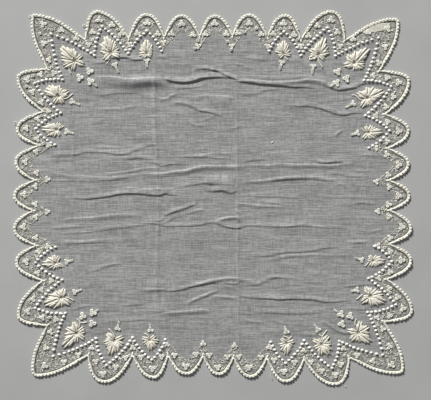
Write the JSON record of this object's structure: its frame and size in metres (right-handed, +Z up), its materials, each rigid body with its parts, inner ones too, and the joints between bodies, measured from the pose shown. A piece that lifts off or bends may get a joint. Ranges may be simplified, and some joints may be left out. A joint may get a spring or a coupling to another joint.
{
  "type": "handkerchief",
  "caption": "Flat square whitework handkerchief of sheer muslin with a scalloped, buttonholed edge and embroidered vine leaves.",
  "frame": {"origin": "on the surface that the cloth lies on, under the middle of its bounding box", "axes": "+X along the top and bottom edges, +Y up the sides towards the top edge, +Z up out of the worked side"},
  "size_m": [0.42, 0.394, 0.0028],
  "materials": {
    "muslin": "matt sheer cotton muslin"
  },
  "bodies": {
    "root": {"ground_cloth": "muslin"}
  },
  "joints": []
}
